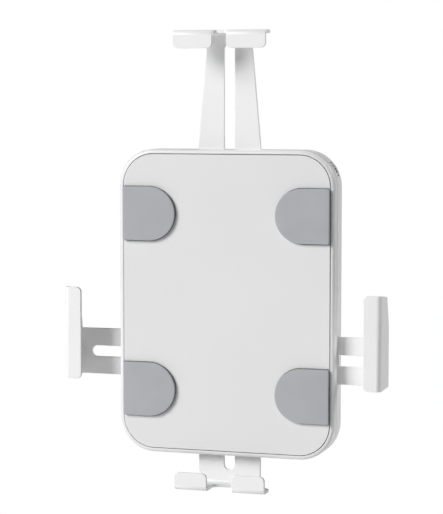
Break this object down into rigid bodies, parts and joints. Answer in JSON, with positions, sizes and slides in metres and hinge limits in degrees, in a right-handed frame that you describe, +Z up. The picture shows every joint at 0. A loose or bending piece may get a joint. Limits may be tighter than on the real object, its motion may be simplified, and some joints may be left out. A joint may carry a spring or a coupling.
{
  "type": "lockable wall tablet holder",
  "caption": "Flat white tablet holder with padded front panel, sliding hooked arms on all four sides, a key lock on the top arm and a rear fixing pattern.",
  "frame": {"origin": "centre of the four rear fixing holes, on the flat rear face", "axes": "+Z up, +X to the right seen from the front, -Y towards the user; the rear face looks along +Y"},
  "size_m": [0.194, 0.0311, 0.2711],
  "materials": {
    "white_coated_steel": "fine satin powder coat",
    "bezel_white": "satin moulded",
    "housing_white": "fine texture moulded",
    "panel_grey": "very fine texture",
    "pad_foam": "matt soft pad",
    "zinc_plate": "zinc plated",
    "screw_steel": "machined",
    "brass": "turned",
    "lock_chrome": "polished"
  },
  "bodies": {
    "housing": {"front_panel": "panel_grey", "front_bezel": "bezel_white", "rear_housing": "housing_white", "chassis_plate": "zinc_plate", "pad_upper_left": "pad_foam", "pad_upper_right": "pad_foam", "pad_lower_left": "pad_foam", "pad_lower_right": "pad_foam", "top_guide_bushes": "brass", "bottom_guide_bush": "brass", "left_guide_bush": "brass", "right_guide_bush": "brass", "bush_screws": "screw_steel", "bottom_clamp_screw": "screw_steel", "left_clamp_screw": "screw_steel", "right_clamp_screw": "screw_steel", "bottom_clamp_plate": "zinc_plate", "left_clamp_plate": "zinc_plate", "right_clamp_plate": "zinc_plate", "housing_screws": "screw_steel", "vesa_inserts": "brass", "lock_barrel": "lock_chrome", "latch_pins": "screw_steel"},
    "top_arm": {"top_arm": "white_coated_steel"},
    "bottom_arm": {"bottom_arm": "white_coated_steel"},
    "left_arm": {"left_arm": "white_coated_steel"},
    "right_arm": {"right_arm": "white_coated_steel"},
    "lock_plug": {"lock_plug": "lock_chrome"},
    "latch": {"latch_plate": "zinc_plate"}
  },
  "joints": [
    {"name": "top_arm_slide", "type": "slide", "parent": "housing", "child": "top_arm", "axis": [0, 0, -1], "range_m": [0, 0.052]},
    {"name": "bottom_arm_slide", "type": "slide", "parent": "housing", "child": "bottom_arm", "axis": [0, 0, 1], "range_m": [0, 0.015]},
    {"name": "left_arm_slide", "type": "slide", "parent": "housing", "child": "left_arm", "axis": [1, 0, 0], "range_m": [0, 0.0275]},
    {"name": "right_arm_slide", "type": "slide", "parent": "housing", "child": "right_arm", "axis": [-1, 0, 0], "range_m": [0, 0.0275]},
    {"name": "lock_turn", "type": "hinge", "parent": "housing", "child": "lock_plug", "pos_m": [0.045, -0.0065, 0.0695], "axis": [0.866, 0, 0.5], "range_deg": [0, 90]},
    {"name": "latch_slide", "type": "slide", "parent": "housing", "child": "latch", "axis": [0, -1, 0], "range_m": [0, 0.0024]}
  ],
  "couplings": [
    {"joint": "lock_turn", "follows": "latch_slide", "rad_per_m": 654.49}
  ]
}
